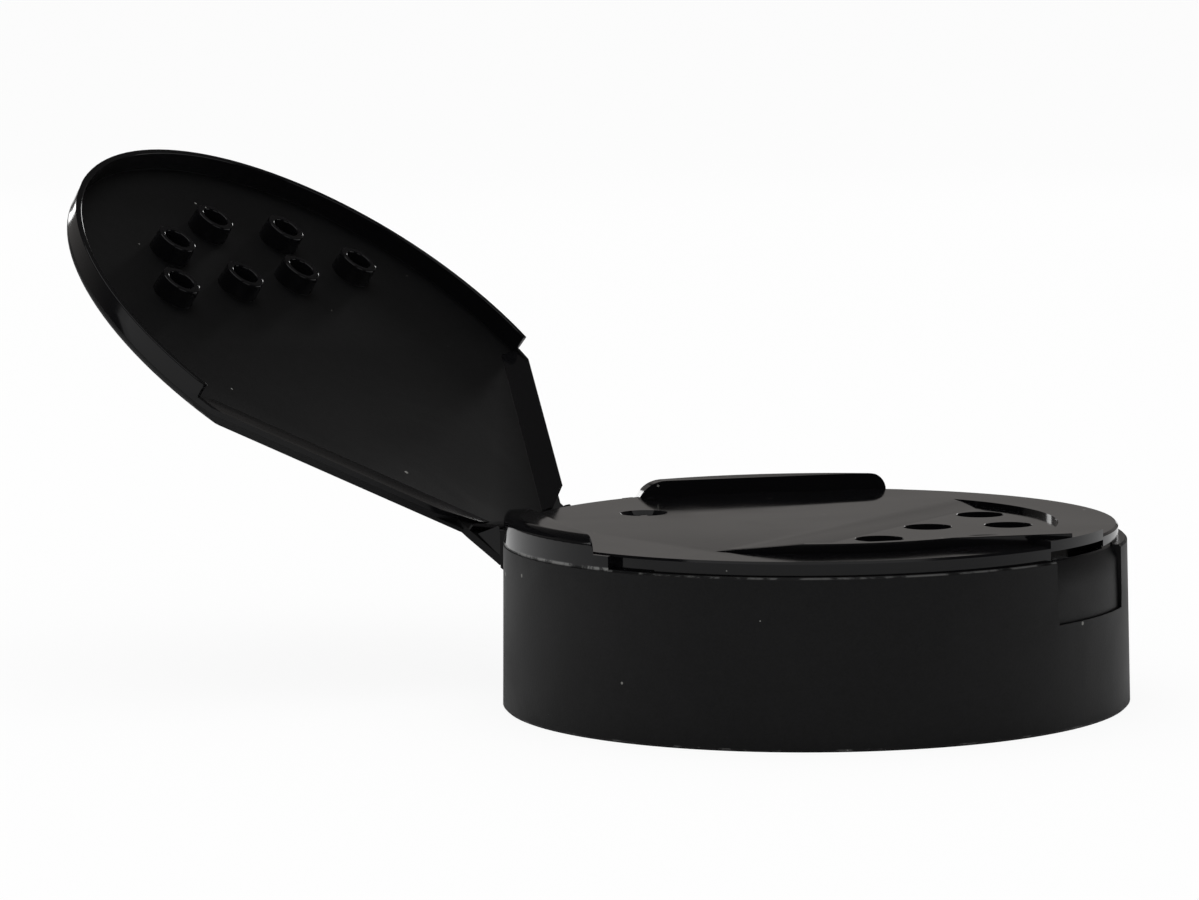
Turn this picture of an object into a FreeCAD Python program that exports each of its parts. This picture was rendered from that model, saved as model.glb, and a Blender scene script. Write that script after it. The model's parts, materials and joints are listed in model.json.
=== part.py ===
"""Flip top cap for a wide mouth spice jar: a threaded base with a seven hole
sifter and a lid on a living hinge, modelled with the lid standing open.

Frame: origin on the cap's axis in the plane of the skirt's open rim, +Z up,
+Y towards the hinge, -Y towards the thumb recess.  Millimetres and degrees.
"""
import FreeCAD
import Part
import math
import os

# ---------------------------------------------------------------- base sizes
bore_radius = 26.4           # inside of the skirt, wall the thread stands on
bore_depth = 12.6            # open rim to the start of the inner corner
skirt_wall = 1.1             # skirt's wall at its open rim
skirt_draft = 0.23           # its outside draws in by this up to the step
skirt_height = 14.5          # open rim to the step under the lid
land_inset = 2.5             # inner corner slopes in by this
neck_height = 1.2            # step to deck
deck_wall = 1.3              # thickness of the deck
edge_break = 0.2             # small bevel on moulded edges

pool_depth = 0.4             # sunk floor around the sifter holes
pool_margin = 5.2            # neck's outside to the floor's round edge
pool_back = 3.0              # how far in front of the axis the floor ends
pool_ramp = 3.4              # length of its rising back edge

hole_diameter = 4.2
hole_ring_outer = 17.0       # five holes on this radius
hole_angles_outer = (-58.0, -31.0, 0.0, 31.0, 58.0)
hole_ring_inner = 9.95       # two holes on this radius
hole_angles_inner = (-27.3, 27.3)

dimple_diameter = 4.4        # gate dimple near the hinge
dimple_depth = 0.35
dimple_place = 17.3
pip_diameter = 0.7
pip_height = 0.12

shoulder_width = 3.765       # the lid's straight side cuts off this much
shoulder_round = 0.9         # radius of their outer top edge
shoulder_rear_cut = 2.7      # rear end stops short of the round by this
shoulder_rear_round = 2.9    # rounding of their ends, seen from the side
shoulder_front_round = 1.6
foot_gap = 0.35              # foot of the shoulder to the end of the lid's rim
foot_rear = 1.1              # low foot behind the rear end
foot_drop = 0.1              # feet end this far below the deck's face
relief_sweep = 9.5           # neck drawn in beside the foot, in degrees
relief_depth = 0.3

ridge_setback = 0.6          # ridge on the deck inside the floor's edge
ridge_wall = 0.9
ridge_start = -64.0          # angles from the front, + towards +X
ridge_turn = -27.0           # from here the ridge runs straight to the front
ridge_lead = 21.0            # angle over which its tapered lead-in rises
ridge_end_x = -2.6           # where the straight run ends at the neck

recess_angle = 13.3          # half width of the thumb recess at the step
recess_bottom_angle = 12.0
recess_bottom = 9.1
recess_depth = 0.45          # up to the crease
recess_top_depth = 0.95      # at its top, under the lid's rim
recess_crease = 1.15         # step down to the crease

pocket_left = -6.0           # nail pocket through the neck above the recess
pocket_right = 3.2
pocket_depth = 1.9
pocket_height = 0.75
lip_height = 0.45            # the deck's edge stands up above the pocket
lip_depth = 1.3

# ----------------------------------------------------------------- lid sizes
rim_setback = 0.07           # lid's rim inside the step's edge
rim_wall = 0.6
rim_draft = 0.2              # rim draws in by this up to the plate
rim_stop = 1.4               # rim ends this far before the straight sides
lid_edge_round = 0.6
plate = 0.7                  # thickness of the lid's plate
headroom = 0.85              # deck to the plate's underside
side_slope = 0.95            # straight side line: x = reach - slope * y
side_depth = 0.55            # plate is thicker by this at its straight sides
side_run = 3.0               # width over which it thickens
tail_half_width = 8.43
notch_depth = 0.35           # plate left over the notched tail corners
notch_reach = 2.05           # notch length along the side and the end

plug_length = 1.8
plug_wall = 0.75
plug_taper = 0.12

# --------------------------------------------------------------- hinge sizes
hinge_behind = 0.43          # hinge line behind the step's radius
hinge_above = 0.19           # hinge line above the step
bead_radius = 0.2            # thickened edge of the wedge at the hinge line
wedge_front = 1.4            # foot of its front face before the hinge line
wedge_inset = 0.33           # wedge narrower than the tail, each side
wedge_wall = 0.5
wedge_rib = 0.8
pad_drop = 3.3               # flat hinge pad on the back of the skirt
film_root = 0.25             # thickness of the film's root on the pad
open_angle = 143.28          # lid's angle from shut, as it stands open

# ---------------------------------------------------------------- clearances
rim_clearance = 0.1          # lid's rim to neck, and rim to step
side_clearance = 0.3         # lid's straight side to shoulder
plug_clearance = 0.1         # plug to hole, on the radius
top_clearance = 0.1          # ridge under the plate, shoulder below lid top
hinge_clearance = 0.13       # across the cut at the living hinge

# -------------------------------------------------- derived radii and heights
skirt_radius = bore_radius + skirt_wall
skirt_top_radius = skirt_radius - skirt_draft
lid_rim_radius = skirt_top_radius - rim_setback
lid_radius = lid_rim_radius - rim_draft
rim_inside = lid_rim_radius - rim_wall
neck_radius = rim_inside - rim_clearance
land_radius = bore_radius - land_inset
pool_radius = neck_radius - pool_margin
ridge_radius = pool_radius - ridge_setback

deck_top = skirt_height + neck_height
deck_under = deck_top - deck_wall
pool_floor = deck_top - pool_depth
plate_under = deck_top + headroom
lid_top = plate_under + plate
side_under = plate_under - side_depth
shoulder_top = lid_top - top_clearance
ridge_top = plate_under - top_clearance
rim_under = skirt_height + rim_clearance

# ------------------------------------- derived places of the sides and hinge
side_tilt = math.hypot(1.0, side_slope)
side_distance = lid_rim_radius - shoulder_width
side_reach = side_distance * side_tilt
tail_end = (side_reach - tail_half_width) / side_slope
half_chord = math.sqrt(lid_rim_radius ** 2 - side_distance ** 2)
side_start = (side_distance * side_slope - half_chord) / side_tilt
rim_end = side_start - rim_stop
foot_end = rim_end + foot_gap
foot_top = deck_top - foot_drop
wedge_half_width = tail_half_width - wedge_inset
pad_half_width = wedge_half_width + film_root
pad_back = skirt_top_radius + edge_break / 8.0
hinge_y = skirt_top_radius + hinge_behind
hinge_z = skirt_height + hinge_above
hole_places = [(hole_ring_outer, a) for a in hole_angles_outer]
hole_places += [(hole_ring_inner, a) for a in hole_angles_inner]


def wedge_back(z):
    """Y of the wedge's back face, which lies along the pad when open."""
    a = math.radians(open_angle)
    gap = hinge_y - pad_back - hinge_clearance
    return hinge_y - (math.sin(a) * (z - hinge_z) + gap) / math.cos(a)



def at(radius, angle, z=0.0):
    """Point at an angle from the front (-Y), positive towards +X."""
    a = math.radians(angle)
    return FreeCAD.Vector(radius * math.sin(a), -radius * math.cos(a), z)


def face(points):
    """Flat face through points; three-point tuples inside make arcs."""
    edges = []
    last = None
    for item in points + points[:1]:
        via = item[0] if isinstance(item, tuple) else None
        end = item[1] if isinstance(item, tuple) else item
        if last is not None and via is not None:
            edges.append(Part.Arc(last, via, end).toShape())
        elif last is not None:
            edges.append(Part.makeLine(last, end))
        last = end
    return Part.Face(Part.Wire(edges))


def corner(center, radius, start, end):
    """Arc in the XZ plane as a (via, end) pair, angles from +X."""
    spots = []
    for a in ((start + end) / 2.0, end):
        r = math.radians(a)
        step = FreeCAD.Vector(radius * math.cos(r), 0, radius * math.sin(r))
        spots.append(center + step)
    return tuple(spots)


def rz(radius, z):
    """Point of a profile that is turned about the cap's axis."""
    return FreeCAD.Vector(radius, 0, z)


def turned(points, angle=360.0, start=0.0):
    """Solid of revolution about the cap's axis."""
    origin = FreeCAD.Vector(0, 0, 0)
    axis = FreeCAD.Vector(0, 0, 1)
    solid = face(points).revolve(origin, axis, angle)
    solid.rotate(origin, axis, start)
    return solid


def prism(points, bottom, top):
    """Upright prism over an XY outline."""
    outline = [FreeCAD.Vector(x, y, bottom) for x, y in points]
    return face(outline).extrude(FreeCAD.Vector(0, 0, top - bottom))


def across(points, left, right):
    """Prism of a YZ outline from left to right; tuples of points make arcs."""
    outline = []
    for item in points:
        if isinstance(item[0], tuple):
            outline.append(tuple(FreeCAD.Vector(left, y, z) for y, z in item))
        else:
            outline.append(FreeCAD.Vector(left, item[0], item[1]))
    return face(outline).extrude(FreeCAD.Vector(right - left, 0, 0))


def peg(radius, place, bottom, top):
    """Upright cylinder."""
    spot = FreeCAD.Vector(place.x, place.y, bottom)
    return Part.makeCylinder(radius, top - bottom, spot)


def mirrored(shape):
    """The same shape on the cap's other side."""
    origin = FreeCAD.Vector(0, 0, 0)
    return shape.mirror(origin, FreeCAD.Vector(1, 0, 0))


def shell_of_base():
    """Skirt, step, neck and deck in one turned profile."""
    e = edge_break
    return turned([
        rz(bore_radius, 0),
        rz(skirt_radius - e, 0),
        rz(skirt_radius, e),
        rz(skirt_top_radius, skirt_height - e),
        rz(skirt_top_radius - e, skirt_height),
        rz(neck_radius, skirt_height),
        rz(neck_radius, deck_top - e),
        rz(neck_radius - e, deck_top),
        rz(0, deck_top),
        rz(0, deck_under),
        rz(land_radius, deck_under),
        rz(bore_radius, bore_depth),
    ])


def pool():
    """Sunk floor of the sifter: round in front, ramped up at the back."""
    rise = FreeCAD.Vector(0, pool_ramp, pool_depth)
    low = FreeCAD.Vector(-pool_radius, -pool_back - pool_ramp, pool_floor)
    high = low + rise
    front = FreeCAD.Vector(low.x, -pool_radius - 1.0, pool_floor)
    above = FreeCAD.Vector(0, 0, pool_depth + 1.0)
    block = face([front, low, high, high + above, front + above])
    block = block.extrude(FreeCAD.Vector(2.0 * pool_radius, 0, 0))
    disc = peg(pool_radius, FreeCAD.Vector(), pool_floor, deck_top + 1.0)
    return disc.common(block)


def shoulder():
    """One shoulder: the outer segment left of the deck by the lid's side."""
    r = shoulder_round
    inner = side_distance + side_clearance
    edge = corner(rz(lid_rim_radius - r, shoulder_top - r), r, 0.0, 90.0)
    foot = skirt_height - edge_break
    ring = turned([
        rz(inner - 1.0, foot),
        rz(lid_rim_radius, foot),
        rz(lid_rim_radius, shoulder_top - r),
        edge,
        rz(inner - 1.0, shoulder_top),
    ])
    a = shoulder_rear_round
    b = shoulder_front_round
    top = shoulder_top
    front_end = math.sqrt(lid_rim_radius ** 2 - inner ** 2)
    back_end = front_end - shoulder_rear_cut
    rear = FreeCAD.Vector(back_end - a, 0, top - a)
    front = FreeCAD.Vector(-front_end + b, 0, top - b)
    side = face([
        FreeCAD.Vector(-front_end, 0, foot - a),
        FreeCAD.Vector(back_end + foot_rear, 0, foot - a),
        FreeCAD.Vector(back_end + foot_rear, 0, foot_top),
        FreeCAD.Vector(back_end, 0, foot_top),
        FreeCAD.Vector(back_end, 0, top - a),
        corner(rear, a, 0.0, 90.0),
        FreeCAD.Vector(-front_end + b, 0, top),
        corner(front, b, 90.0, 180.0),
    ])
    keep = side.extrude(FreeCAD.Vector(0, -lid_rim_radius, 0))
    keep.translate(FreeCAD.Vector(0, -inner, 0))
    turn = 90.0 + math.degrees(math.atan2(side_slope, 1.0))
    keep.rotate(FreeCAD.Vector(), FreeCAD.Vector(0, 0, 1), turn)
    return ring.common(keep)


def shoulder_foot():
    """Low foot that runs on from a shoulder's front end to the lid's rim."""
    foot = skirt_height - edge_break
    ring = turned([
        rz(neck_radius - 1.0, foot),
        rz(lid_rim_radius, foot),
        rz(lid_rim_radius, foot_top),
        rz(neck_radius - 1.0, foot_top),
    ])
    wide = lid_rim_radius + 1.0
    keep = prism([(-wide, foot_end), (-neck_radius / 2.0, foot_end),
                  (-neck_radius / 2.0, side_start + 1.0),
                  (-wide, side_start + 1.0)], foot, foot_top)
    return ring.common(keep)


def neck_relief():
    """Shallow relief in the neck in front of the foot."""
    top = foot_top - foot_drop
    start = math.degrees(math.asin(foot_end / neck_radius))
    return turned([
        rz(neck_radius - relief_depth, skirt_height),
        rz(neck_radius + 1.0, skirt_height),
        rz(neck_radius + 1.0, top),
        rz(neck_radius - relief_depth, top),
    ], relief_sweep, 180.0 - start)


def ridge():
    """Ridge beside the sifter: lead-in, arc, then a straight run forward."""
    inside = ridge_radius - ridge_wall
    sweep = ridge_turn - ridge_start
    arc = turned([
        rz(inside, pool_floor),
        rz(ridge_radius, pool_floor),
        rz(ridge_radius, ridge_top),
        rz(inside, ridge_top),
    ], sweep, ridge_start - 90.0)
    start = at(ridge_radius, ridge_turn)
    turn_in = at(inside, ridge_turn)
    reach = math.sqrt(neck_radius ** 2 - ridge_end_x ** 2) - edge_break
    end = FreeCAD.Vector(ridge_end_x, -reach, 0)
    along = (end - start).normalize()
    aside = FreeCAD.Vector(-along.y, along.x, 0) * ridge_wall
    run = prism([(start.x, start.y), (end.x, end.y),
                 (end.x + aside.x, end.y + aside.y),
                 (turn_in.x, turn_in.y)], pool_floor, ridge_top)
    lead = turned([
        rz(inside, pool_floor),
        rz(ridge_radius, pool_floor),
        rz(ridge_radius, ridge_top),
        rz(inside, ridge_top),
    ], ridge_lead, ridge_start - ridge_lead - 90.0)
    low = at(ridge_radius, ridge_start - ridge_lead)
    high = at(ridge_radius, ridge_start)
    wedge = face([
        FreeCAD.Vector(-ridge_radius - 1.0, low.y + 1.0, pool_floor),
        FreeCAD.Vector(-ridge_radius - 1.0, low.y, deck_top),
        FreeCAD.Vector(-ridge_radius - 1.0, high.y, ridge_top),
        FreeCAD.Vector(-ridge_radius - 1.0, high.y - 1.0, pool_floor),
    ]).extrude(FreeCAD.Vector(ridge_radius, 0, 0))
    return [arc, run, lead.common(wedge)]


def recess():
    """Thumb recess in the front of the skirt, deeper under the lid's rim."""
    out = skirt_radius + 2.0
    top = skirt_height + edge_break
    crease = skirt_height - recess_crease
    low = skirt_radius - recess_depth
    high = skirt_top_radius - recess_top_depth
    cut = turned([
        rz(low, recess_bottom),
        rz(out, recess_bottom),
        rz(out, top),
        rz(high, top),
        rz(low - skirt_draft / 2.0, crease),
    ], 2.0 * recess_angle, -90.0 - recess_angle)
    half_low = out * math.sin(math.radians(recess_bottom_angle))
    half_top = out * math.sin(math.radians(recess_angle))
    trim = face([
        FreeCAD.Vector(-half_low, 0, recess_bottom),
        FreeCAD.Vector(half_low, 0, recess_bottom),
        FreeCAD.Vector(half_top, 0, top),
        FreeCAD.Vector(-half_top, 0, top),
    ]).extrude(FreeCAD.Vector(0, -out, 0))
    return cut.common(trim)


def front_lip():
    """Raised edge of the deck above the nail pocket."""
    ring = turned([
        rz(neck_radius - lip_depth, pool_floor),
        rz(neck_radius, pool_floor),
        rz(neck_radius, deck_top + lip_height),
        rz(neck_radius - lip_depth, deck_top + lip_height),
    ])
    keep = prism([(pocket_left, -neck_radius - 1.0),
                  (pocket_right, -neck_radius - 1.0),
                  (pocket_right, -land_radius / 2.0),
                  (pocket_left, -land_radius / 2.0)], pool_floor, lid_top)
    return ring.common(keep)


def hinge_pad():
    """Flat pad on the back of the skirt that carries the hinge film."""
    low = skirt_height - pad_drop
    slope = pad_half_width / 8.0
    film = hinge_y - bead_radius - hinge_clearance
    inside = math.sqrt(bore_radius ** 2 - pad_half_width ** 2)
    pad = across([
        (inside, low - slope),
        (inside + 0.5, low - slope),
        (pad_back, low),
        (pad_back, skirt_height - edge_break / 2.0),
        (film, skirt_height),
        (film, hinge_z - bead_radius / 4.0),
        (film - film_root, hinge_z - bead_radius / 4.0),
        (inside, skirt_height),
    ], -pad_half_width, pad_half_width)
    bore = peg(bore_radius, FreeCAD.Vector(), 0, bore_depth)
    land = Part.makeCone(bore_radius, land_radius, deck_under - bore_depth,
                         FreeCAD.Vector(0, 0, bore_depth))
    return pad.cut(bore).cut(land)


def base():
    """Base: everything that screws onto the jar."""
    body = shell_of_base()
    walls = shoulder()
    feet = shoulder_foot()
    relief = neck_relief()
    body = body.cut([pool(), relief, mirrored(relief)])
    body = body.fuse([walls, mirrored(walls), feet, mirrored(feet)])
    body = body.fuse([hinge_pad()] + ridge())
    body = body.fuse(front_lip())
    body = body.cut(recess())
    pocket = prism([(pocket_left, -neck_radius - 2.0),
                    (pocket_right, -neck_radius - 2.0),
                    (pocket_right, -neck_radius + pocket_depth),
                    (pocket_left, -neck_radius + pocket_depth)],
                   skirt_height, skirt_height + pocket_height)
    body = body.cut(pocket)
    cuts = []
    for radius, angle in hole_places:
        cuts.append(peg(hole_diameter / 2.0, at(radius, angle),
                        deck_under - 1.0, deck_top + 1.0))
    dimple = FreeCAD.Vector(0, dimple_place, 0)
    bowl = Part.makeCone(dimple_diameter / 2.0 - dimple_depth,
                         dimple_diameter / 2.0, dimple_depth,
                         FreeCAD.Vector(0, dimple_place,
                                        deck_top - dimple_depth))
    pip = peg(pip_diameter / 2.0, dimple, deck_top - 2.0 * dimple_depth,
              deck_top - dimple_depth + pip_height)
    cuts.append(bowl.cut(pip))
    return body.cut(cuts).removeSplitter()


def lid_outline(bottom, top):
    """Upright prism between the lid's two straight sides."""
    back = tail_end
    front = -lid_rim_radius - 1.0
    half_back = side_reach - side_slope * back
    half_front = side_reach - side_slope * front
    return prism([(-half_front, front), (half_front, front),
                  (half_back, back), (half_back, lid_radius + 1.0),
                  (-half_back, lid_radius + 1.0), (-half_back, back)],
                 bottom, top)


def lid_cup():
    """Plate with its rounded edge and the rim around the front."""
    r = lid_edge_round
    edge = corner(rz(lid_radius - r, lid_top - r), r, 0.0, 90.0)
    cup = turned([
        rz(0, plate_under),
        rz(rim_inside, plate_under),
        rz(rim_inside, rim_under),
        rz(lid_rim_radius, rim_under),
        rz(lid_radius, plate_under),
        rz(lid_radius, lid_top - r),
        edge,
        rz(0, lid_top),
    ])
    wide = lid_radius + 2.0
    behind = prism([(-wide, rim_end), (wide, rim_end), (wide, wide),
                    (-wide, wide)], rim_under - 1.0, side_under)
    cup = cup.common(lid_outline(rim_under - 1.0, lid_top + 1.0))
    return cup.cut(behind)


def thick_side():
    """The plate thickens towards a straight side, on the +X side."""
    inside = plate_under + plate / 2.0
    middle = side_distance - side_run
    section = face([
        FreeCAD.Vector(side_distance, -lid_radius, side_under),
        FreeCAD.Vector(side_distance, -lid_radius, inside),
        FreeCAD.Vector(middle, -lid_radius, inside),
        FreeCAD.Vector(middle, -lid_radius, plate_under),
    ])
    bar = section.extrude(FreeCAD.Vector(0, 2.0 * lid_radius, 0))
    turn = math.degrees(math.atan(side_slope))
    bar.rotate(FreeCAD.Vector(), FreeCAD.Vector(0, 0, 1), turn)
    disc = peg(lid_radius, FreeCAD.Vector(), side_under, lid_top)
    slab = prism([(0, rim_end), (lid_radius, rim_end),
                  (lid_radius, tail_end), (0, tail_end)],
                 side_under, lid_top)
    return bar.common(disc).common(slab)


def wedge_outline():
    """Section of the hinge wedge behind the lid's tail."""
    edge = lid_top - edge_break / 2.0
    return [
        (hinge_y - wedge_front, plate_under),
        (hinge_y - bead_radius, hinge_z),
        ((hinge_y, hinge_z - bead_radius), (hinge_y + bead_radius, hinge_z)),
        (wedge_back(hinge_z + bead_radius), hinge_z + bead_radius),
        (wedge_back(edge), edge),
        (wedge_back(edge) - edge_break / 2.0, lid_top),
        (hinge_y - wedge_front, lid_top),
    ]


def wedge_pocket(left, right):
    """One cored pocket of the wedge, open towards the base."""
    deep = plate_under - wedge_wall / 4.0
    low = hinge_z + 2.0 * bead_radius
    return across([
        (hinge_y - 2.0 * wedge_front, deep),
        (hinge_y - wedge_front, low),
        (hinge_y - bead_radius / 2.0, low),
        (wedge_back(deep) - 1.5 * wedge_wall, deep),
    ], left, right)


def tail():
    """Tongue of the plate over the hinge, with the wedge under it."""
    root = tail_end - 1.0
    end = wedge_back(plate_under)
    tongue = prism([(-tail_half_width, root), (tail_half_width, root),
                    (tail_half_width, tail_end + plate),
                    (wedge_half_width, end), (-wedge_half_width, end),
                    (-tail_half_width, tail_end + plate)],
                   plate_under, lid_top)
    wedge = across(wedge_outline(), -wedge_half_width, wedge_half_width)
    pockets = []
    for side in (-1.0, 1.0):
        ends = sorted((side * wedge_rib / 2.0,
                       side * (wedge_half_width - wedge_rib)))
        pockets.append(wedge_pocket(ends[0], ends[1]))
    return [tongue, wedge.cut(pockets)]


def corner_notch():
    """Notch under one tail corner that clears the shoulder's end."""
    deep = lid_top - notch_depth
    wide = notch_reach * side_tilt
    x = tail_half_width
    y = tail_end
    return prism([
        (x - wide, y + plate / 2.0),
        (x + wide * side_slope / side_tilt, y - wide / side_tilt),
        (x + 2.0 * wide, y - wide / side_tilt),
        (x + 2.0 * wide, y + plate / 2.0),
    ], side_under - 1.0, deep)


def plugs():
    """Hollow plugs that stop the sifter holes."""
    radius = hole_diameter / 2.0 - plug_clearance
    bottom = plate_under - plug_length
    tubes = []
    for ring, angle in hole_places:
        spot = at(ring, angle, bottom)
        outer = Part.makeCone(radius - plug_taper, radius,
                              plug_length + plate / 2.0, spot)
        bore = peg(radius - plug_wall, spot, bottom - 1.0, plate_under)
        tubes.append(outer.cut(bore))
    return tubes


def lid_shut():
    """Lid as it lies on the base."""
    cup = lid_cup()
    side = thick_side()
    body = cup.fuse([side, mirrored(side)])
    notch = corner_notch()
    body = body.cut([notch, mirrored(notch)])
    return body.fuse(tail() + plugs()).removeSplitter()


def opened(shape):
    """Swing the shut lid up and back about the hinge line."""
    spot = FreeCAD.Vector(0, hinge_y, hinge_z)
    shape.rotate(spot, FreeCAD.Vector(-1, 0, 0), open_angle)
    return shape


os.makedirs("parts", exist_ok=True)
for name, shape in (("base", base()), ("lid", opened(lid_shut()))):
    solid = shape.Solids[0] if len(shape.Solids) == 1 else shape
    print(name, "solids", len(shape.Solids), "valid", shape.isValid(),
          "volume", round(shape.Volume, 1))
    solid.exportStep("parts/" + name + ".step")
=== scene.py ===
# %% [markdown]
# # Dressing a flip top cap
# The cap is one moulding in black polypropylene: a base that screws onto a jar, and a lid
# that hangs on a thin living hinge behind it. The imported model gives the two solids and the
# hinge between them. This lesson gives them their finish: smooth shading, softened edges, the
# matt and polished skins, a painted highlight along two edges and specks of dust, then the camera and the studio
# light.
# Everything is in metres, in the model's own frame.

# %% Load the frame
import bpy
import json
import math
from mathutils import Matrix, Vector


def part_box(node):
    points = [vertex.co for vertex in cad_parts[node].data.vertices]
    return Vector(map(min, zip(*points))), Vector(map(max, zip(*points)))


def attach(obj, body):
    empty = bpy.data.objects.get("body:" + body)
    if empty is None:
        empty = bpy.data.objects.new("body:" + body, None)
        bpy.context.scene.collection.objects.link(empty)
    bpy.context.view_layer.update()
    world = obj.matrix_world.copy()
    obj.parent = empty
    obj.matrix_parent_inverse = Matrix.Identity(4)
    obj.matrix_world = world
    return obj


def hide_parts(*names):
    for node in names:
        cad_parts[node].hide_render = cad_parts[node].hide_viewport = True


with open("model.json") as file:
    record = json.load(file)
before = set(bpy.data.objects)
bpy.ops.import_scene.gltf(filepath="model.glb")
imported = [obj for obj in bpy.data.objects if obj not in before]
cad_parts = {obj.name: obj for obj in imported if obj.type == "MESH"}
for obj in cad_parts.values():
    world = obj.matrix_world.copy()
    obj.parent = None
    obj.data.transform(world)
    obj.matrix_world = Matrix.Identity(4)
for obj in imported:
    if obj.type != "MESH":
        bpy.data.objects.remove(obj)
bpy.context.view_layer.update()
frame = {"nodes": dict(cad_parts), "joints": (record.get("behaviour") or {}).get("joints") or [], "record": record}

# %% [markdown]
# ## Sizes taken from the frame
# The hinge line, the skirt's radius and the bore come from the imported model, so the dressing
# follows it if it changes. A few heights above the open rim are named here because every
# finish needs them: where the step lies, where the deck lies, where the shut lid's plate lies.
# The step is the ledge at the top of the matt skirt, and the hinge line runs just behind it.

# %% Sizes
MM = 0.001
HINGE_ABOVE_STEP = 0.19 * MM
HINGE_BEHIND_STEP = 0.43 * MM
NECK_HEIGHT = 1.2 * MM
LID_HEADROOM = 0.85 * MM
base_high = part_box("base")[1]
hinge = frame["joints"][0]
hinge_line = Vector(hinge["pos_m"])
open_angle = math.radians(-hinge["range_deg"][0])
bore = [m for m in frame["record"]["mounts"] if m["name"] == "neck_thread"][0]
bore_radius = bore["dims"]["r_mm"] * MM
skirt_radius = base_high.x
step_height = hinge_line.z - HINGE_ABOVE_STEP
step_radius = hinge_line.y - HINGE_BEHIND_STEP
deck_height = step_height + NECK_HEIGHT
plate_under = deck_height + LID_HEADROOM
print("hinge at", [round(v / MM, 2) for v in hinge_line])
print("skirt radius", round(skirt_radius / MM, 2))

# %% [markdown]
# ## Small helpers for node trees
# A material is a tree of nodes joined by links. Three short helpers keep the recipes below
# readable: one adds a node and sets its inputs, one does a sum, one fades between two values.

# %% Node helpers
def add(tree, kind, label="", **inputs):
    """Add a node; a keyword sets or links the input of that name."""
    made = tree.nodes.new(kind)
    made.label = label
    for name, value in inputs.items():
        feed(tree, made.inputs[name.replace("_", " ")], value)
    return made


def feed(tree, socket, value):
    """Give a socket a plain value or link it to another socket."""
    if isinstance(value, bpy.types.NodeSocket):
        tree.links.new(value, socket)
    else:
        socket.default_value = value


def calc(tree, operation, a, b=0.0, c=0.0):
    """One Math node; returns its output socket."""
    made = tree.nodes.new("ShaderNodeMath")
    made.operation = operation
    for socket, value in zip(made.inputs, (a, b, c)):
        feed(tree, socket, value)
    return made.outputs[0]


def fade(tree, value, low, high, start=0.0, end=1.0):
    """Map a value smoothly from low..high to start..end, and stop there."""
    made = tree.nodes.new("ShaderNodeMapRange")
    made.interpolation_type = "SMOOTHSTEP"
    for name, given in (("Value", value), ("From Min", low), ("From Max", high),
                        ("To Min", start), ("To Max", end)):
        feed(tree, made.inputs[name], given)
    return made.outputs[0]


def blend_value(tree, share, a, b):
    """Plain mix of two numbers by a share from 0 to 1."""
    made = tree.nodes.new("ShaderNodeMix")
    made.data_type = "FLOAT"
    feed(tree, made.inputs[0], share)
    feed(tree, made.inputs[2], a)
    feed(tree, made.inputs[3], b)
    return made.outputs[0]


def blend_colour(tree, share, a, b):
    """Plain mix of two colours by a share from 0 to 1."""
    made = tree.nodes.new("ShaderNodeMix")
    made.data_type = "RGBA"
    feed(tree, made.inputs[0], share)
    feed(tree, made.inputs[6], a)
    feed(tree, made.inputs[7], b)
    return made.outputs[2]


print("node helpers ready")

# %% [markdown]
# ## Shared effects as node groups
# Grain, smudges and dust are on every piece of the cap, so each is a group built once and
# placed in each material with its own numbers. A group only puts out masks, tones and heights;
# the shader itself stays in the material, where the export can read it.

# %% Group helper
def group(name, inputs, outputs):
    """An empty node group with float or vector inputs and float outputs."""
    made = bpy.data.node_groups.new(name, "ShaderNodeTree")
    for label, kind, value in inputs:
        socket = made.interface.new_socket(label, in_out="INPUT", socket_type=kind)
        if value is not None:
            socket.default_value = value
    for label in outputs:
        made.interface.new_socket(label, in_out="OUTPUT", socket_type="NodeSocketFloat")
    return made, made.nodes.new("NodeGroupInput"), made.nodes.new("NodeGroupOutput")


def place(tree, made, **inputs):
    """Place a group in a material with its own values."""
    node = tree.nodes.new("ShaderNodeGroup")
    node.node_tree = made
    for name, value in inputs.items():
        feed(tree, node.inputs[name.replace("_", " ")], value)
    return node


print("group helpers ready")

# %% [markdown]
# ### Moulded grain
# A spark eroded mould leaves a fine pebbled skin on the skirt and under the lid. Two layers of
# noise make it: one at the size of the pebbles and one a few times larger, so that the skin
# does not look like a regular print. It is a height for a Bump node and a slight change of tone.

# %% Grain group
def moulded_grain():
    """Fine pebbled skin; Height is around 0.5, Tone around 1."""
    tree, given, out = group(
        "moulded grain",
        [("Vector", "NodeSocketVector", None), ("Size", "NodeSocketFloat", 4000.0)],
        ["Height", "Tone"])
    pebbles = add(tree, "ShaderNodeTexNoise", "pebbles", Vector=given.outputs["Vector"],
                  Scale=given.outputs["Size"], Detail=2.0, Roughness=0.6)
    broad = add(tree, "ShaderNodeTexNoise", "broad",
                Vector=given.outputs["Vector"],
                Scale=calc(tree, "MULTIPLY", given.outputs["Size"], 0.22), Detail=3.0)
    height = blend_value(tree, 0.3, pebbles.outputs[0], broad.outputs[0])
    feed(tree, out.inputs["Height"], height)
    feed(tree, out.inputs["Tone"], fade(tree, height, 0.3, 0.7, 0.75, 1.25))
    return tree


grain_group = moulded_grain()
print("group", grain_group.name)

# %% [markdown]
# ### Smudges
# Handling leaves faint cloudy patches that change how sharp the gloss is. A stretched, low
# noise does that. It only feeds roughness.

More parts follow.
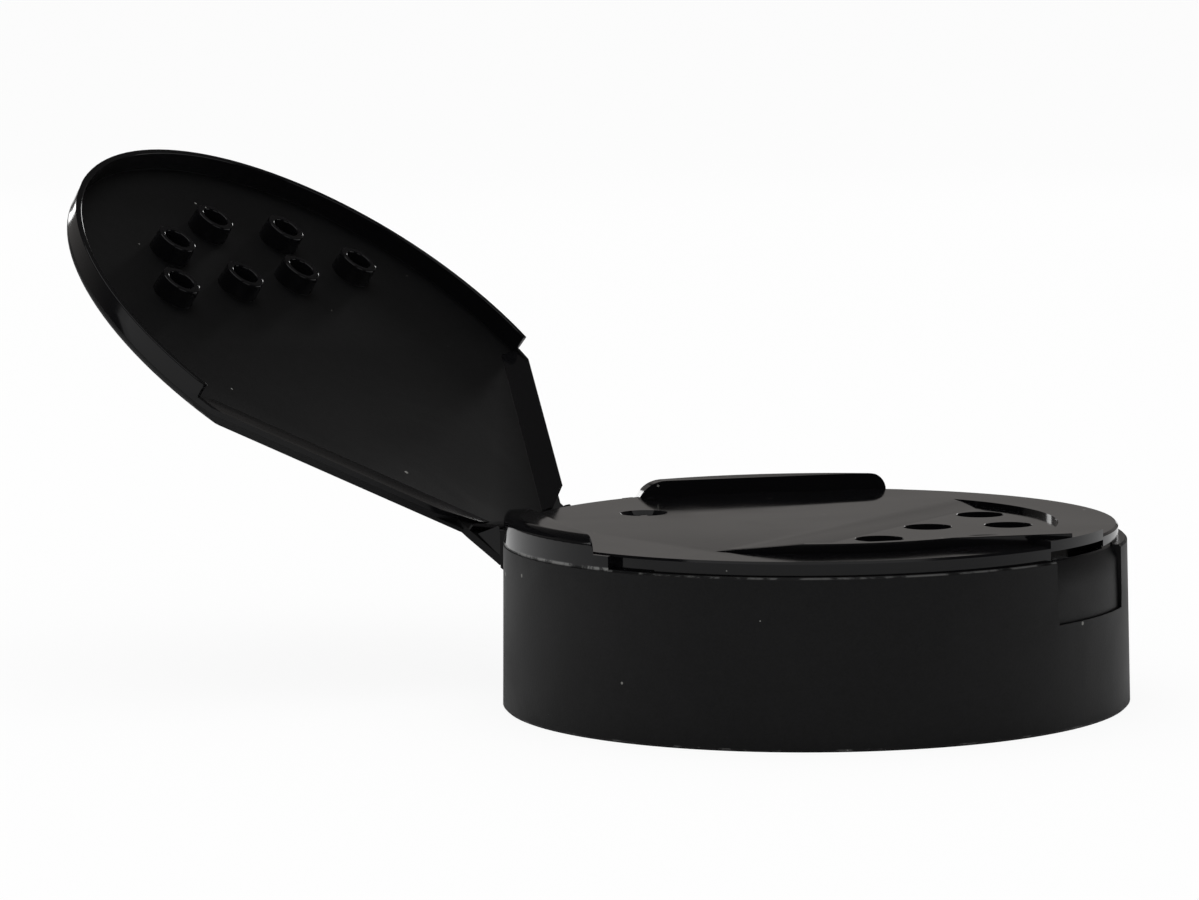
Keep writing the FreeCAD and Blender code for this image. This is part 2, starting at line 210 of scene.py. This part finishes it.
# %% Smudge group
def handling_smudges():
    """Cloudy patches from 0 to 1."""
    tree, given, out = group(
        "handling smudges",
        [("Vector", "NodeSocketVector", None), ("Size", "NodeSocketFloat", 90.0)],
        ["Mask"])
    cloud = add(tree, "ShaderNodeTexNoise", "cloud", Vector=given.outputs["Vector"],
                Scale=given.outputs["Size"], Detail=4.0, Roughness=0.55, Distortion=0.6)
    feed(tree, out.inputs["Mask"], fade(tree, cloud.outputs[0], 0.35, 0.72))
    return tree


smudge_group = handling_smudges()
print("group", smudge_group.name)

# %% [markdown]
# ### Dust
# Black plastic shows every speck. Each cell of a Voronoi texture holds one speck near its
# centre, and the cell's own random colour decides whether that cell has a speck at all.

# %% Dust group
def dust_specks():
    """Rare tiny specks: 1 on a speck, 0 elsewhere."""
    tree, given, out = group(
        "dust specks",
        [("Vector", "NodeSocketVector", None), ("Spacing", "NodeSocketFloat", 900.0),
         ("Share", "NodeSocketFloat", 0.06), ("Speck", "NodeSocketFloat", 0.09)],
        ["Mask"])
    cells = add(tree, "ShaderNodeTexVoronoi", "cells", Vector=given.outputs["Vector"],
                Scale=given.outputs["Spacing"])
    pick = add(tree, "ShaderNodeSeparateColor", "pick", Color=cells.outputs["Color"])
    chosen = calc(tree, "LESS_THAN", pick.outputs["Red"], given.outputs["Share"])
    size = calc(tree, "MULTIPLY", given.outputs["Speck"],
                calc(tree, "ADD", pick.outputs["Green"], 0.4))
    spot = calc(tree, "LESS_THAN", cells.outputs["Distance"], size)
    feed(tree, out.inputs["Mask"], calc(tree, "MULTIPLY", chosen, spot))
    return tree


dust_group = dust_specks()
print("group", dust_group.name)

# %% [markdown]
# ### Painted edge highlight
# A thin broken lighter line is painted along an edge, a painted highlight where the edge would catch the light.
# Every such edge on this cap is a circle about the axis, so the mask is a band at one radius
# and one height, broken up by noise.

# %% Painted edge highlight group
def painted_edge_highlight():
    """Painted highlight: a broken light line on a circle about Z."""
    tree, given, out = group(
        "painted edge highlight",
        [("Vector", "NodeSocketVector", None), ("Radius", "NodeSocketFloat", 0.027),
         ("Height", "NodeSocketFloat", 0.0145), ("Width", "NodeSocketFloat", 0.0001),
         ("Breaks", "NodeSocketFloat", 0.5)],
        ["Mask"])
    place_on = add(tree, "ShaderNodeSeparateXYZ", "", Vector=given.outputs["Vector"])
    x, y, z = place_on.outputs
    radius = calc(tree, "SQRT", calc(tree, "ADD", calc(tree, "MULTIPLY", x, x),
                                     calc(tree, "MULTIPLY", y, y)))
    across = calc(tree, "SUBTRACT", radius, given.outputs["Radius"])
    above = calc(tree, "SUBTRACT", z, given.outputs["Height"])
    away = calc(tree, "SQRT", calc(tree, "ADD", calc(tree, "MULTIPLY", across, across),
                                   calc(tree, "MULTIPLY", above, above)))
    line = fade(tree, calc(tree, "DIVIDE", away, given.outputs["Width"]), 0.4, 1.3, 1.0, 0.0)
    breaks = add(tree, "ShaderNodeTexNoise", "breaks", Vector=given.outputs["Vector"],
                 Scale=380.0, Detail=5.0, Roughness=0.75)
    kept = fade(tree, breaks.outputs[0], given.outputs["Breaks"],
                calc(tree, "ADD", given.outputs["Breaks"], 0.12))
    feed(tree, out.inputs["Mask"], calc(tree, "MULTIPLY", line, kept))
    return tree


edge_highlight_group = painted_edge_highlight()
print("group", edge_highlight_group.name)

# %% [markdown]
# ## The plastic
# All of the cap is the same black polypropylene. What differs is the mould's finish: the skirt
# and the plate of the lid are matt and grained, the deck, neck, shoulders, plugs and rims are
# polished. So one recipe makes both materials, and each material says where it is matt. A very
# low bump as wide as a fingertip stands for the sink marks that bend reflections in the deck.

# %% Plastic recipe
GRAIN_SIZE = 4200.0
SINK_SIZE = 55.0
GRAIN_DEPTH = 0.012 * MM
SINK_DEPTH = 0.06 * MM
SMUDGE_ROUGHNESS = 0.06
# Roughness of the painted highlight line along edges.
EDGE_HIGHLIGHT_ROUGHNESS = 0.6
PLASTIC_BLACK = (0.0030, 0.0030, 0.0034, 1.0)
DUST_GREY = (0.16, 0.16, 0.15, 1.0)
# Grey of the painted highlight line along edges.
EDGE_HIGHLIGHT_GREY = (0.20, 0.20, 0.195, 1.0)


def new_plastic(name, gloss=0.2):
    """An empty plastic material: returns its tree, shader and object coordinates."""
    made = bpy.data.materials.new(name)
    made.use_nodes = True
    tree = made.node_tree
    shader = tree.nodes["Principled BSDF"]
    shader.inputs["IOR"].default_value = 1.49
    shader.inputs["Specular IOR Level"].default_value = gloss
    where = tree.nodes.new("ShaderNodeTexCoord").outputs["Object"]
    return made, tree, shader, where


def dress(tree, shader, where, matt, rough_matt, rough_polished, painted_highlight=0.0):
    """Colour, roughness and grain for a surface that is matt by a share from 0 to 1, with a painted highlight line
    where a second share is set.
    """
    grain = place(tree, grain_group, Vector=where, Size=GRAIN_SIZE)
    smudge = place(tree, smudge_group, Vector=where, Size=85.0)
    dust = place(tree, dust_group, Vector=where, Spacing=700.0, Share=0.05, Speck=0.10)
    tone = blend_value(tree, matt, 1.0, grain.outputs["Tone"])
    black = add(tree, "ShaderNodeHueSaturation", "tone", Value=tone, Color=PLASTIC_BLACK)
    dusty = blend_colour(tree, dust.outputs["Mask"], black.outputs[0], DUST_GREY)
    # A lighter grey painted along edges stands in for their highlight.
    feed(tree, shader.inputs["Base Color"], blend_colour(tree, painted_highlight, dusty, EDGE_HIGHLIGHT_GREY))
    plain = blend_value(tree, matt, rough_polished, rough_matt)
    patchy = calc(tree, "MULTIPLY_ADD", smudge.outputs["Mask"], SMUDGE_ROUGHNESS, plain)
    feed(tree, shader.inputs["Roughness"], blend_value(tree, painted_highlight, patchy, EDGE_HIGHLIGHT_ROUGHNESS))
    waves = add(tree, "ShaderNodeTexNoise", "sink waves", Vector=where, Scale=SINK_SIZE,
                Detail=1.0)
    waving = add(tree, "ShaderNodeBump", "sink waves", Strength=1.0, Distance=SINK_DEPTH,
                 Height=waves.outputs[0])
    skin = add(tree, "ShaderNodeBump", "grain", Strength=1.0, Distance=GRAIN_DEPTH,
               Height=calc(tree, "MULTIPLY", grain.outputs["Height"], matt),
               Normal=waving.outputs[0])
    feed(tree, shader.inputs["Normal"], skin.outputs[0])


print("plastic recipe ready")

# %% [markdown]
# ## Base: matt skirt, polished top
# The skirt's outside is matt below the step; above the step everything was polished in the
# mould. Height and radius from the object coordinates tell the two apart. A painted highlight,
# a lighter broken line, runs all round the step's edge, and more faintly round the rim that the cap stands on.

# %% Base material
def base_plastic():
    """Plastic of the base, with its matt skirt."""
    made, tree, shader, where = new_plastic("base plastic")
    spot = add(tree, "ShaderNodeSeparateXYZ", "", Vector=where)
    x, y, z = spot.outputs
    radius = calc(tree, "SQRT", calc(tree, "ADD", calc(tree, "MULTIPLY", x, x),
                                     calc(tree, "MULTIPLY", y, y)))
    below = fade(tree, z, step_height - 0.02 * MM, step_height + 0.02 * MM, 1.0, 0.0)
    outside = fade(tree, radius, bore_radius + 0.02 * MM, bore_radius + 0.1 * MM)
    matt = calc(tree, "MULTIPLY", below, outside)
    # Painted highlight: a lighter broken line painted along the step's edge, fainter round the foot rim.
    step = place(tree, edge_highlight_group, Vector=where, Radius=step_radius, Height=step_height,
                 Width=0.16 * MM, Breaks=0.44)
    foot = place(tree, edge_highlight_group, Vector=where, Radius=skirt_radius, Height=0.1 * MM,
                 Width=0.16 * MM, Breaks=0.52)
    painted_highlight = calc(tree, "MAXIMUM", calc(tree, "MULTIPLY", step.outputs[0], 0.75),
                 calc(tree, "MULTIPLY", foot.outputs[0], 0.35))
    dress(tree, shader, where, matt, 0.5, 0.06, painted_highlight)
    return made


base_finish = base_plastic()
print("material", base_finish.name)

# %% [markdown]
# ## Lid: grained plate, polished rim and plugs
# The lid is drawn open, so its finish is easiest to place in the shut position. A Mapping node
# turns the coordinates back about the hinge line; after that the plate's underside is simply
# one height. The plate is matt from there up, and whatever hangs below it is polished.

# %% Lid material
def shut_coordinates(tree, where):
    """Object coordinates of the open lid, turned back to where it lies shut."""
    turn = Matrix.Rotation(open_angle, 3, "X")
    shift = hinge_line - turn @ hinge_line
    mapping = add(tree, "ShaderNodeMapping", "turned shut", Vector=where,
                  Location=shift, Rotation=(open_angle, 0.0, 0.0))
    return mapping.outputs[0]


def lid_plastic():
    """Plastic of the lid, with its grained plate."""
    made, tree, shader, where = new_plastic("lid plastic")
    spot = add(tree, "ShaderNodeSeparateXYZ", "", Vector=shut_coordinates(tree, where))
    above = fade(tree, spot.outputs[2], plate_under - 0.04 * MM, plate_under - 0.02 * MM)
    dress(tree, shader, where, above, 0.52, 0.07)
    return made


lid_finish = lid_plastic()
print("material", lid_finish.name)

# %% [markdown]
# ## Smooth copies of the two solids
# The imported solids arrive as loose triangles, which shade as flat facets. A copy is merged into
# one skin, flat areas are joined into single faces, and the shading is smoothed wherever two
# faces meet at a shallow angle. The copy stands for the solid, and later steps soften its edges.

# %% Smooth copies
MERGE_WITHIN = 0.002 * MM
FLAT_WITHIN = math.radians(0.05)
SMOOTH_BELOW = math.radians(28.0)


def nothing_selected():
    """Leave edit mode and deselect every object."""
    if bpy.context.object and bpy.context.object.mode != "OBJECT":
        bpy.ops.object.mode_set(mode="OBJECT")
    bpy.ops.object.select_all(action="DESELECT")


def work_on(piece):
    """Make one object the selected and active one."""
    nothing_selected()
    piece.select_set(True)
    bpy.context.view_layer.objects.active = piece


def smooth_copy(node, name, finish):
    """A merged, smoothly shaded copy of a CAD node that stands for it."""
    source = frame["nodes"][node]
    copy = bpy.data.objects.new(name, source.data.copy())
    bpy.context.scene.collection.objects.link(copy)
    work_on(copy)
    bpy.ops.object.mode_set(mode="EDIT")
    bpy.ops.mesh.select_all(action="SELECT")
    bpy.ops.mesh.remove_doubles(threshold=MERGE_WITHIN)
    bpy.ops.mesh.customdata_custom_splitnormals_clear()
    bpy.ops.mesh.dissolve_limited(angle_limit=FLAT_WITHIN)
    bpy.ops.object.mode_set(mode="OBJECT")
    bpy.ops.object.shade_smooth_by_angle(angle=SMOOTH_BELOW)
    copy.data.materials.clear()
    copy.data.materials.append(finish)
    print(name, "faces", len(copy.data.polygons), "vertices", len(copy.data.vertices))
    return copy


base_skin = smooth_copy("base", "base_skin", base_finish)
lid_skin = smooth_copy("lid", "lid_skin", lid_finish)

# %% [markdown]
# ## Softened edges
# No moulded edge is perfectly sharp: each one has a tiny round that catches a thread of light,
# and on black plastic those threads draw the shape. A Bevel modifier would treat every edge
# alike, so the edges are picked by place instead, and each family gets its own width.

# %% Softening helper
SHARP_ABOVE = math.radians(35.0)
turned_shut = Matrix.Rotation(open_angle, 3, "X")


def middle(mesh, edge):
    """Middle of an edge."""
    a, b = [mesh.vertices[i].co for i in edge.vertices]
    return (a + b) / 2.0


def soften(piece, belongs, width, segments=2):
    """Bevel the sharp edges of a piece whose middle belongs to a family."""
    work_on(piece)
    bpy.ops.object.mode_set(mode="EDIT")
    bpy.ops.mesh.select_mode(type="EDGE")
    bpy.ops.mesh.select_all(action="DESELECT")
    bpy.ops.mesh.edges_select_sharp(sharpness=SHARP_ABOVE)
    bpy.ops.object.mode_set(mode="OBJECT")
    mesh = piece.data
    sharp = [edge for edge in mesh.edges if edge.select]
    for part in (mesh.vertices, mesh.edges, mesh.polygons):
        part.foreach_set("select", [False] * len(part))
    family = [edge for edge in sharp if belongs(middle(mesh, edge))]
    for edge in family:
        edge.select = True
        for end in edge.vertices:
            mesh.vertices[end].select = True
    before = len(mesh.polygons)
    bpy.ops.object.mode_set(mode="EDIT")
    bpy.ops.mesh.bevel(offset=width, segments=segments, profile=0.5, clamp_overlap=True)
    bpy.ops.object.mode_set(mode="OBJECT")
    print(piece.name, "softened", len(family), "edges by", round(width / MM, 3), "mm, faces",
          before, "->", len(piece.data.polygons))


def shut(point):
    """Where a point of the open lid lies when the lid is shut."""
    return turned_shut @ (point - hinge_line) + hinge_line


print("softening helpers ready")

# %% [markdown]
# ### The families of edges
# On the lid: the ends of the seven plugs, well inside its rim, and the rim's own edge. On the
# base: the tops of the two shoulders, the top of the ridge, and the mouths of the seven holes in
# the sunk floor of the pool. The height and the distance from the axis tell them apart.

# %% Softened edges
PLUGS_WITHIN = 24.0 * MM
RIM_BEYOND = 26.0 * MM
RIM_BACK_END = 8.0 * MM
RIDGE_HEIGHT = 0.75 * MM
POOL_DEPTH = 0.4 * MM
HOLES_WITHIN = 20.0 * MM


def plug_end(point):
    """An edge at the end of a plug."""
    place_shut = shut(point)
    return place_shut.z < step_height + 0.4 * MM and place_shut.xy.length < PLUGS_WITHIN


def rim_edge(point):
    """An edge at the foot of the lid's rim."""
    place_shut = shut(point)
    low = place_shut.z < plate_under - 0.6 * MM
    return low and place_shut.xy.length > RIM_BEYOND and place_shut.y < RIM_BACK_END


def shoulder_top(point):
    """An edge of a shoulder, which stands higher than all else on the base."""
    return point.z > deck_height + 1.0 * MM


def ridge_top(point):
    """An edge along the top of the ridge."""
    return abs(point.z - deck_height - RIDGE_HEIGHT) < 0.02 * MM


def hole_mouth(point):
    """An edge of a sifter hole in the pool's floor."""
    return abs(point.z - deck_height + POOL_DEPTH) < 0.01 * MM and point.xy.length < HOLES_WITHIN


soften(lid_skin, plug_end, 0.1 * MM)
soften(lid_skin, rim_edge, 0.15 * MM)
soften(base_skin, shoulder_top, 0.22 * MM, 3)
soften(base_skin, ridge_top, 0.12 * MM)
soften(base_skin, hole_mouth, 0.07 * MM)

# %% [markdown]
# ### Standing for the solids
# Bevelling adds faces, so the shading is smoothed once more. Each copy then stands for its solid
# and moves with its body. The hidden solids get the same plastic, so that no node is left bare.

# %% Finished pieces
for piece in (base_skin, lid_skin):
    work_on(piece)
    bpy.ops.object.shade_smooth_by_angle(angle=SMOOTH_BELOW)
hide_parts("base")
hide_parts("lid")
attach(base_skin, "base")
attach(lid_skin, "lid")
for solid in ("base", "lid"):
    frame["nodes"][solid].data.materials.clear()
frame["nodes"]["base"].data.materials.append(base_finish)
frame["nodes"]["lid"].data.materials.append(lid_finish)
print("base_skin stands for base, lid_skin for lid")

# %% [markdown]
# ## Camera
# The camera looks a little down on the cap from its front left, through a long lens that
# hardly converges, as a product picture is taken.

# %% Camera
camera = bpy.data.objects.new("camera", bpy.data.cameras.new("camera"))
bpy.context.scene.collection.objects.link(camera)
camera.data.sensor_width = 36.0
camera.data.lens = 144.703
camera.location = (-0.36866, -0.20040, 0.06721)
camera.rotation_euler = [math.radians(a) for a in (83.8948, 0.7671, -58.997)]
camera.data.clip_start = 0.01
camera.data.clip_end = 20.0
bpy.context.scene.camera = camera
print("camera at", [round(v, 3) for v in camera.location])

# %% [markdown]
# ## Floor
# A wide pale floor. To the camera it is nearly white, and what is left of its own shading
# carries the cap's soft shadow.

# %% Floor
WHITE_SHARE = 0.9


def pale_floor():
    """Pale floor that keeps a soft shadow."""
    made = bpy.data.materials.new("pale floor")
    made.use_nodes = True
    tree = made.node_tree
    tree.nodes.clear()
    card = add(tree, "ShaderNodeBsdfDiffuse", "card", Color=(0.9, 0.9, 0.9, 1.0))
    glow = add(tree, "ShaderNodeEmission", "white", Color=(1.0, 1.0, 1.0, 1.0), Strength=1.0)
    rays = tree.nodes.new("ShaderNodeLightPath").outputs["Is Camera Ray"]
    both = tree.nodes.new("ShaderNodeMixShader")
    feed(tree, both.inputs[0], calc(tree, "MULTIPLY", rays, WHITE_SHARE))
    feed(tree, both.inputs[1], card.outputs[0])
    feed(tree, both.inputs[2], glow.outputs[0])
    last = tree.nodes.new("ShaderNodeOutputMaterial")
    feed(tree, last.inputs["Surface"], both.outputs[0])
    return made


nothing_selected()
bpy.ops.mesh.primitive_plane_add(size=16.0, location=(0.0, 0.0, 0.0))
floor = bpy.context.object
floor.name = "floor"
floor.data.materials.append(pale_floor())
print("floor", [round(v, 1) for v in floor.dimensions])

# %% [markdown]
# ## Light
# Black gloss is lit by what it mirrors. The world is white to the camera and a plain soft grey
# to everything that is lit. To the gloss it is a studio wall: a warm pale band low behind the
# cap, which the deck mirrors at a glancing angle, and dim everywhere else, so that upright
# faces stay black.

# %% World
BEHIND = (0.85, 0.51, 0.0)
WALL_COLOUR = (1.0, 0.955, 0.92, 1.0)


def studio_world():
    """White to the camera, plain grey to the matt skin, a dim banded wall to the gloss."""
    made = bpy.data.worlds.new("studio")
    bpy.context.scene.world = made
    made.use_nodes = True
    tree = made.node_tree
    tree.nodes.clear()
    paths = tree.nodes.new("ShaderNodeLightPath").outputs
    direction = tree.nodes.new("ShaderNodeTexCoord").outputs["Generated"]
    height = add(tree, "ShaderNodeSeparateXYZ", "height", Vector=direction).outputs[2]
    facing = tree.nodes.new("ShaderNodeVectorMath")
    facing.operation = "DOT_PRODUCT"
    feed(tree, facing.inputs[0], direction)
    feed(tree, facing.inputs[1], BEHIND)
    band = fade(tree, height, 0.0, 0.16, 0.08, 0.24)
    below = fade(tree, height, 0.2, 0.42, 1.0, 0.2)
    behind = fade(tree, facing.outputs["Value"], -0.3, 0.8, 0.25, 1.0)
    wall = calc(tree, "MULTIPLY", band, calc(tree, "MULTIPLY", below, behind))
    seen = calc(tree, "MAXIMUM", paths["Is Camera Ray"], paths["Is Transmission Ray"])
    gloss = calc(tree, "MULTIPLY", paths["Is Glossy Ray"], wall)
    soft = calc(tree, "MULTIPLY", paths["Is Diffuse Ray"], 0.8)
    level = calc(tree, "ADD", seen, calc(tree, "ADD", gloss, soft))
    colour = blend_colour(tree, paths["Is Glossy Ray"], (1.0, 1.0, 1.0, 1.0), WALL_COLOUR)
    sky = add(tree, "ShaderNodeBackground", "studio", Color=colour, Strength=level)
    last = tree.nodes.new("ShaderNodeOutputWorld")
    feed(tree, last.inputs["Surface"], sky.outputs[0])
    return made


studio_world()
print("world ready")

# %% [markdown]
# ### Lamps
# One wide lamp hangs overhead. Three small ones stand low behind and beside the cap, where
# rounded edges and the bores of the plugs mirror them as thin glints. All are hidden from the
# camera itself, so that a view from another side shows the cap alone.

# %% Lamps
cap_middle = Vector((0.0, 0.02, 0.015))


def soft_lamp(name, towards, distance, width, depth, power):
    """A rectangular soft lamp in a direction from the cap, aimed back at it."""
    data = bpy.data.lights.new(name, "AREA")
    data.shape = "RECTANGLE"
    data.size = width
    data.size_y = depth
    data.energy = power
    lamp = bpy.data.objects.new(name, data)
    bpy.context.scene.collection.objects.link(lamp)
    away = Vector(towards).normalized()
    lamp.location = cap_middle + away * distance
    lamp.rotation_euler = (-away).to_track_quat("-Z", "Y").to_euler()
    lamp.visible_camera = False
    print(name, "power", power, "at", [round(v, 2) for v in lamp.location])
    return lamp


soft_lamp("overhead lamp", (0.0, 0.0, 1.0), 0.7, 0.6, 0.6, 1.2)
soft_lamp("back lamp", (0.567, 0.81, 0.16), 0.9, 0.12, 0.16, 0.25)
soft_lamp("rim lamp", (0.934, 0.233, 0.27), 0.9, 0.10, 0.14, 0.20)
soft_lamp("side lamp", (-0.5, 0.85, 0.35), 0.9, 0.12, 0.3, 0.25)

# %% Colour view
bpy.context.scene.view_settings.view_transform = "Standard"
